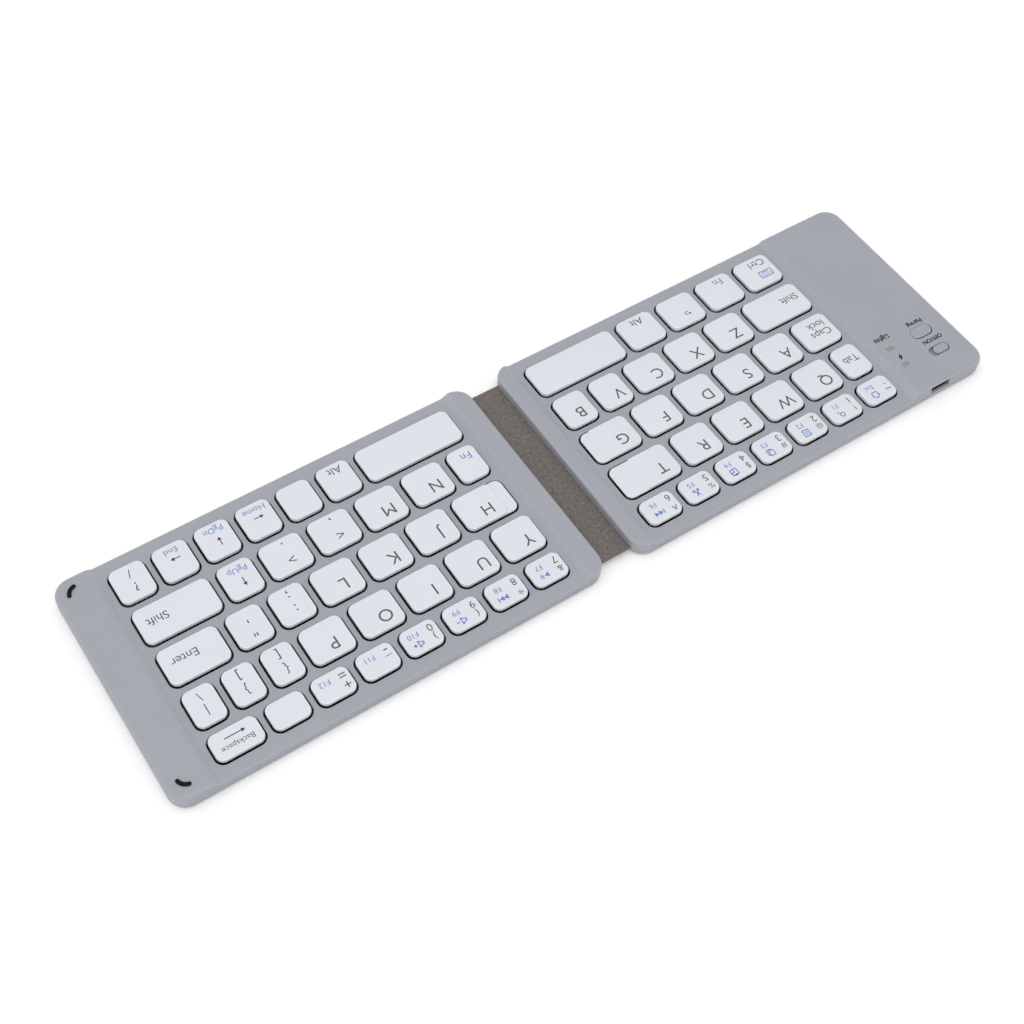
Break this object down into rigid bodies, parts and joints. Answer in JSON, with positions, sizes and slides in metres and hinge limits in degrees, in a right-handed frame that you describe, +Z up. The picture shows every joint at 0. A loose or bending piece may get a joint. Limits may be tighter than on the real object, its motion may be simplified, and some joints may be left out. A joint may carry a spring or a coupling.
{
  "type": "folding keyboard",
  "caption": "Slim wireless keyboard that folds in half, keys inwards, on a flexible fabric strip, with low grey platforms at its ends and a split space bar.",
  "frame": {"origin": "middle of the open keyboard, on the surface it lies on", "axes": "+X towards the typist's right, +Y away from the typist, +Z up"},
  "size_m": [0.3062, 0.0844, 0.0068],
  "materials": {
    "case_grey": "satin silver-grey plastic",
    "strip_fabric": "matt brown-grey woven fabric",
    "flex_film": "thin polyester film with printed tracks",
    "plate_steel": "plain steel",
    "dome_rubber": "translucent silicone rubber",
    "link_plastic": "moulded plastic",
    "battery_foil": "foil pouch",
    "board": "green circuit board",
    "socket_steel": "tinned steel",
    "lamp_lens": "milky lens",
    "black_rubber": "matt",
    "keycap_white": "satin white plastic"
  },
  "bodies": {
    "spine": {"strip_middle": "strip_fabric", "ribbon_cable": "flex_film"},
    "left_half": {"base_shell_left": "case_grey", "top_shell_left": "case_grey", "strip_end_left": "strip_fabric", "key_plate_left": "plate_steel", "membrane_left": "flex_film", "domes_left": "dome_rubber", "scissor_links_left": "link_plastic", "battery": "battery_foil", "main_board": "board", "usb_socket": "socket_steel", "status_lamps": "lamp_lens", "feet_left": "black_rubber", "screws_left": "plate_steel"},
    "right_half": {"base_shell_right": "case_grey", "top_shell_right": "case_grey", "strip_end_right": "strip_fabric", "key_plate_right": "plate_steel", "membrane_right": "flex_film", "domes_right": "dome_rubber", "scissor_links_right": "link_plastic", "magnets": "plate_steel", "corner_pads": "black_rubber", "feet_right": "black_rubber", "screws_right": "plate_steel"},
    "key_q": {"key_q": "keycap_white"},
    "key_w": {"key_w": "keycap_white"},
    "key_e": {"key_e": "keycap_white"},
    "key_r": {"key_r": "keycap_white"},
    "key_t": {"key_t": "keycap_white"},
    "key_a": {"key_a": "keycap_white"},
    "key_s": {"key_s": "keycap_white"},
    "key_d": {"key_d": "keycap_white"},
    "key_f": {"key_f": "keycap_white"},
    "key_g": {"key_g": "keycap_white"},
    "key_z": {"key_z": "keycap_white"},
    "key_x": {"key_x": "keycap_white"},
    "key_c": {"key_c": "keycap_white"},
    "key_v": {"key_v": "keycap_white"},
    "key_b": {"key_b": "keycap_white"},
    "space_left": {"space_left": "keycap_white"},
    "number_row_left": {"number_row_left": "keycap_white"},
    "side_keys_left": {"side_keys_left": "keycap_white"},
    "key_y": {"key_y": "keycap_white"},
    "key_u": {"key_u": "keycap_white"},
    "key_i": {"key_i": "keycap_white"},
    "key_o": {"key_o": "keycap_white"},
    "key_p": {"key_p": "keycap_white"},
    "key_h": {"key_h": "keycap_white"},
    "key_j": {"key_j": "keycap_white"},
    "key_k": {"key_k": "keycap_white"},
    "key_l": {"key_l": "keycap_white"},
    "key_n": {"key_n": "keycap_white"},
    "key_m": {"key_m": "keycap_white"},
    "space_right": {"space_right": "keycap_white"},
    "number_row_right": {"number_row_right": "keycap_white"},
    "side_keys_right": {"side_keys_right": "keycap_white"},
    "connect_button": {"connect_button": "case_grey"},
    "power_slider": {"power_slider": "case_grey"}
  },
  "joints": [
    {"name": "fold_left", "type": "hinge", "parent": "spine", "child": "left_half", "pos_m": [-0.00365, 0, 0.003], "axis": [0, 1, 0], "range_deg": [0, 90]},
    {"name": "fold_right", "type": "hinge", "parent": "spine", "child": "right_half", "pos_m": [0.00365, 0, 0.003], "axis": [0, -1, 0], "range_deg": [0, 90]},
    {"name": "press_q", "type": "slide", "parent": "left_half", "child": "key_q", "axis": [0, 0, 1], "range_m": [-0.0014, 0], "stiffness_N_per_m": 400, "deforming": ["domes_left", "scissor_links_left"]},
    {"name": "press_w", "type": "slide", "parent": "left_half", "child": "key_w", "axis": [0, 0, 1], "range_m": [-0.0014, 0], "stiffness_N_per_m": 400},
    {"name": "press_e", "type": "slide", "parent": "left_half", "child": "key_e", "axis": [0, 0, 1], "range_m": [-0.0014, 0], "stiffness_N_per_m": 400},
    {"name": "press_r", "type": "slide", "parent": "left_half", "child": "key_r", "axis": [0, 0, 1], "range_m": [-0.0014, 0], "stiffness_N_per_m": 400},
    {"name": "press_t", "type": "slide", "parent": "left_half", "child": "key_t", "axis": [0, 0, 1], "range_m": [-0.0014, 0], "stiffness_N_per_m": 400},
    {"name": "press_a", "type": "slide", "parent": "left_half", "child": "key_a", "axis": [0, 0, 1], "range_m": [-0.0014, 0], "stiffness_N_per_m": 400},
    {"name": "press_s", "type": "slide", "parent": "left_half", "child": "key_s", "axis": [0, 0, 1], "range_m": [-0.0014, 0], "stiffness_N_per_m": 400},
    {"name": "press_d", "type": "slide", "parent": "left_half", "child": "key_d", "axis": [0, 0, 1], "range_m": [-0.0014, 0], "stiffness_N_per_m": 400},
    {"name": "press_f", "type": "slide", "parent": "left_half", "child": "key_f", "axis": [0, 0, 1], "range_m": [-0.0014, 0], "stiffness_N_per_m": 400},
    {"name": "press_g", "type": "slide", "parent": "left_half", "child": "key_g", "axis": [0, 0, 1], "range_m": [-0.0014, 0], "stiffness_N_per_m": 400},
    {"name": "press_z", "type": "slide", "parent": "left_half", "child": "key_z", "axis": [0, 0, 1], "range_m": [-0.0014, 0], "stiffness_N_per_m": 400},
    {"name": "press_x", "type": "slide", "parent": "left_half", "child": "key_x", "axis": [0, 0, 1], "range_m": [-0.0014, 0], "stiffness_N_per_m": 400},
    {"name": "press_c", "type": "slide", "parent": "left_half", "child": "key_c", "axis": [0, 0, 1], "range_m": [-0.0014, 0], "stiffness_N_per_m": 400},
    {"name": "press_v", "type": "slide", "parent": "left_half", "child": "key_v", "axis": [0, 0, 1], "range_m": [-0.0014, 0], "stiffness_N_per_m": 400},
    {"name": "press_b", "type": "slide", "parent": "left_half", "child": "key_b", "axis": [0, 0, 1], "range_m": [-0.0014, 0], "stiffness_N_per_m": 400},
    {"name": "press_space_left", "type": "slide", "parent": "left_half", "child": "space_left", "axis": [0, 0, 1], "range_m": [-0.0014, 0], "stiffness_N_per_m": 400},
    {"name": "press_number_row_left", "type": "slide", "parent": "left_half", "child": "number_row_left", "axis": [0, 0, 1], "range_m": [-0.0014, 0], "stiffness_N_per_m": 400},
    {"name": "press_side_keys_left", "type": "slide", "parent": "left_half", "child": "side_keys_left", "axis": [0, 0, 1], "range_m": [-0.0014, 0], "stiffness_N_per_m": 400},
    {"name": "press_y", "type": "slide", "parent": "right_half", "child": "key_y", "axis": [0, 0, 1], "range_m": [-0.0014, 0], "stiffness_N_per_m": 400, "deforming": ["domes_right", "scissor_links_right"]},
    {"name": "press_u", "type": "slide", "parent": "right_half", "child": "key_u", "axis": [0, 0, 1], "range_m": [-0.0014, 0], "stiffness_N_per_m": 400},
    {"name": "press_i", "type": "slide", "parent": "right_half", "child": "key_i", "axis": [0, 0, 1], "range_m": [-0.0014, 0], "stiffness_N_per_m": 400},
    {"name": "press_o", "type": "slide", "parent": "right_half", "child": "key_o", "axis": [0, 0, 1], "range_m": [-0.0014, 0], "stiffness_N_per_m": 400},
    {"name": "press_p", "type": "slide", "parent": "right_half", "child": "key_p", "axis": [0, 0, 1], "range_m": [-0.0014, 0], "stiffness_N_per_m": 400},
    {"name": "press_h", "type": "slide", "parent": "right_half", "child": "key_h", "axis": [0, 0, 1], "range_m": [-0.0014, 0], "stiffness_N_per_m": 400},
    {"name": "press_j", "type": "slide", "parent": "right_half", "child": "key_j", "axis": [0, 0, 1], "range_m": [-0.0014, 0], "stiffness_N_per_m": 400},
    {"name": "press_k", "type": "slide", "parent": "right_half", "child": "key_k", "axis": [0, 0, 1], "range_m": [-0.0014, 0], "stiffness_N_per_m": 400},
    {"name": "press_l", "type": "slide", "parent": "right_half", "child": "key_l", "axis": [0, 0, 1], "range_m": [-0.0014, 0], "stiffness_N_per_m": 400},
    {"name": "press_n", "type": "slide", "parent": "right_half", "child": "key_n", "axis": [0, 0, 1], "range_m": [-0.0014, 0], "stiffness_N_per_m": 400},
    {"name": "press_m", "type": "slide", "parent": "right_half", "child": "key_m", "axis": [0, 0, 1], "range_m": [-0.0014, 0], "stiffness_N_per_m": 400},
    {"name": "press_space_right", "type": "slide", "parent": "right_half", "child": "space_right", "axis": [0, 0, 1], "range_m": [-0.0014, 0], "stiffness_N_per_m": 400},
    {"name": "press_number_row_right", "type": "slide", "parent": "right_half", "child": "number_row_right", "axis": [0, 0, 1], "range_m": [-0.0014, 0], "stiffness_N_per_m": 400},
    {"name": "press_side_keys_right", "type": "slide", "parent": "right_half", "child": "side_keys_right", "axis": [0, 0, 1], "range_m": [-0.0014, 0], "stiffness_N_per_m": 400},
    {"name": "press_connect", "type": "slide", "parent": "left_half", "child": "connect_button", "axis": [0, 0, 1], "range_m": [-0.0003, 0], "stiffness_N_per_m": 3000},
    {"name": "slide_power", "type": "slide", "parent": "left_half", "child": "power_slider", "axis": [1, 0, 0], "range_m": [0, 0.002]}
  ],
  "couplings": [
    {"joint": "fold_right", "follows": "fold_left", "ratio": 1}
  ]
}
